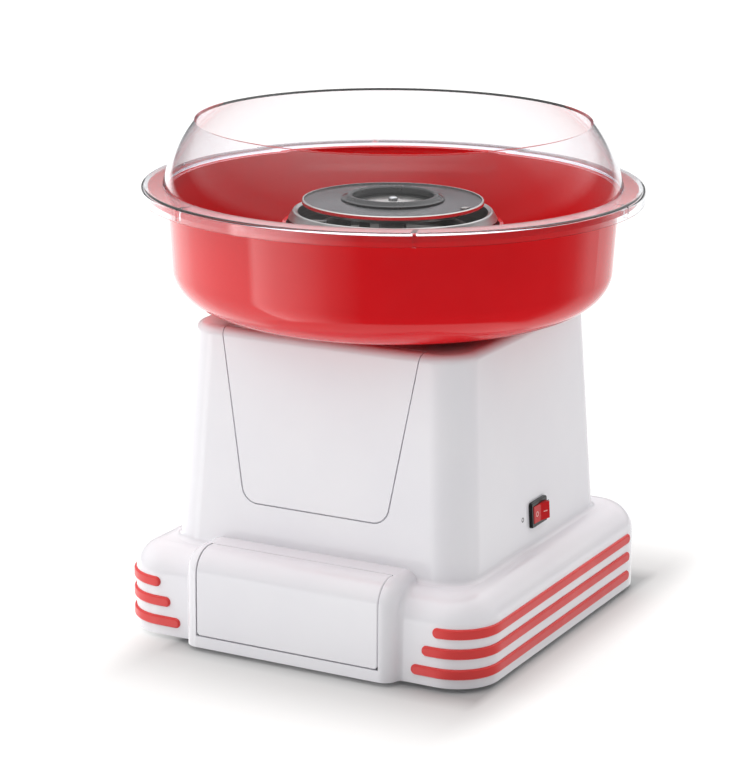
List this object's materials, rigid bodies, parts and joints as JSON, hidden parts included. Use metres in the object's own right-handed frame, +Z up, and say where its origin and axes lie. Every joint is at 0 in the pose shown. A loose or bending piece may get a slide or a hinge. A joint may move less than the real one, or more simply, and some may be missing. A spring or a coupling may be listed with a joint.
{
  "type": "cotton candy machine",
  "caption": "Table-top cotton candy machine with a striped square base, tapered white tower, red floss bowl, clear rim guard and spinning heated head.",
  "frame": {"origin": "on the floor under the drive axis, at the centre of the machine", "axes": "+Z up along the drive axis, -Y towards the front with the drawer, +X towards the side with the switch"},
  "size_m": [0.29, 0.29, 0.2931],
  "materials": {
    "white_plastic": "glossy moulded",
    "red_plastic": "glossy moulded",
    "stripe_red": "satin moulded",
    "clear_plastic": "clear polished",
    "pan_aluminium": "spun, satin",
    "head_aluminium": "bright turned",
    "head_black": "dark anodised, glossy",
    "lip_black": "glossy heat-resistant moulding",
    "steel": "machined",
    "zinc_screw": "zinc plated",
    "element_sheath": "heat-dulled",
    "motor_steel": "plated",
    "dark_resin": "heat-resistant resin",
    "grey_resin": "plain moulded",
    "ceramic": "unglazed",
    "brass": "plain",
    "rubber": "matt",
    "switch_black": "satin moulded",
    "switch_red": "glossy translucent-look"
  },
  "bodies": {
    "base": {"housing": "white_plastic", "front_panel": "white_plastic", "bottom_plate": "white_plastic", "base_screws": "zinc_screw", "drawer_rail_left": "grey_resin", "drawer_rail_right": "grey_resin", "support_column": "dark_resin", "column_screws": "zinc_screw", "pan_screws": "zinc_screw", "heater_pan": "pan_aluminium", "heating_element": "element_sheath", "element_insulators": "ceramic", "element_clips": "pan_aluminium", "thermal_cutout": "steel", "motor_plate": "motor_steel", "motor_plate_screws": "zinc_screw", "motor_screws": "zinc_screw", "motor_can": "motor_steel", "motor_end_cap": "dark_resin", "shaft_bearing": "steel", "switch_body": "switch_black", "switch_terminals": "brass", "cord_gland": "rubber", "terminal_block": "grey_resin", "stripe_left_bottom": "stripe_red", "stripe_left_middle": "stripe_red", "stripe_left_top": "stripe_red", "stripe_right_bottom": "stripe_red", "stripe_right_middle": "stripe_red", "stripe_right_top": "stripe_red", "foot_front_left": "rubber", "foot_front_right": "rubber", "foot_rear_left": "rubber", "foot_rear_right": "rubber"},
    "drawer": {"drawer_front": "white_plastic", "drawer_tray": "white_plastic"},
    "rotor": {"drive_shaft": "steel", "drive_pin": "steel", "cooling_fan": "dark_resin"},
    "spinner_head": {"head_dish": "head_aluminium", "head_hub": "head_aluminium", "head_screw": "steel", "head_cover": "head_black", "head_lip": "lip_black", "head_catch": "head_aluminium"},
    "bowl": {"floss_bowl": "red_plastic"},
    "guard": {"rim_guard": "clear_plastic"},
    "rocker": {"switch_rocker": "switch_red"}
  },
  "joints": [
    {"name": "drawer_slide", "type": "slide", "parent": "base", "child": "drawer", "axis": [0, -1, 0], "range_m": [0, 0.075]},
    {"name": "rotor_spin", "type": "hinge", "parent": "base", "child": "rotor", "pos_m": [0, 0, 0.209], "axis": [0, 0, 1], "continuous": true},
    {"name": "head_lift", "type": "slide", "parent": "rotor", "child": "spinner_head", "axis": [0, 0, 1], "range_m": [0, 0.03]},
    {"name": "bowl_lift", "type": "slide", "parent": "base", "child": "bowl", "axis": [0, 0, 1], "range_m": [0, 0.08]},
    {"name": "guard_lift", "type": "slide", "parent": "bowl", "child": "guard", "axis": [0, 0, 1], "range_m": [0, 0.06]},
    {"name": "switch_rock", "type": "hinge", "parent": "base", "child": "rocker", "pos_m": [0.09537, 0.001, 0.07204], "axis": [-0.0602, 0, 0.9982], "range_deg": [0, 20]}
  ]
}
